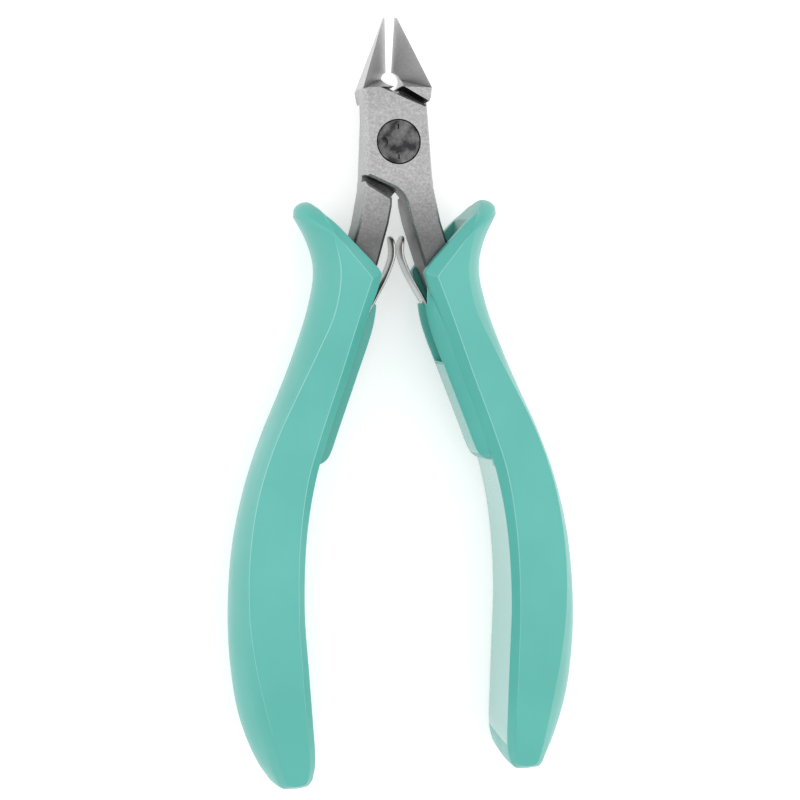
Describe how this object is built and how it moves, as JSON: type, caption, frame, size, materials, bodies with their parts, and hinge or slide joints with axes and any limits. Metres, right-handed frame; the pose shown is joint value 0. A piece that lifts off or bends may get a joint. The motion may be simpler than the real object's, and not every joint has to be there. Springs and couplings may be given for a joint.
{
  "type": "flush cutter",
  "caption": "Spring-opened flush cutter with a lapped steel head and moulded ergonomic grips, lying on its flat back, for trimming component leads.",
  "frame": {"origin": "under the middle of the tool's bounding box, on the surface that it lies on", "axes": "+Y from the grip ends to the blade tips, +X to the right with the tips away from you, +Z along the pivot, out of the front"},
  "size_m": [0.0684, 0.146, 0.018],
  "materials": {
    "steel": "fine satin",
    "spring_steel": "polished strip",
    "dark_steel": "black oxide",
    "grip": "semi-matte moulded"
  },
  "bodies": {
    "back_half": {"back_member": "steel", "pivot_screw": "dark_steel", "pivot_nut": "dark_steel", "leaf_spring_left": "spring_steel", "spring_rivet_left": "steel", "left_grip": "grip"},
    "front_half": {"front_member": "steel", "leaf_spring_right": "spring_steel", "spring_rivet_right": "steel", "right_grip": "grip"}
  },
  "joints": [
    {"name": "pivot", "type": "hinge", "parent": "back_half", "child": "front_half", "pos_m": [0, 0.0495, 0.009], "axis": [0, 0, 1], "range_deg": [-4.3, 2.5], "stiffness_Nm_per_rad": 2.5, "deforming": ["leaf_spring_left", "leaf_spring_right"]}
  ]
}
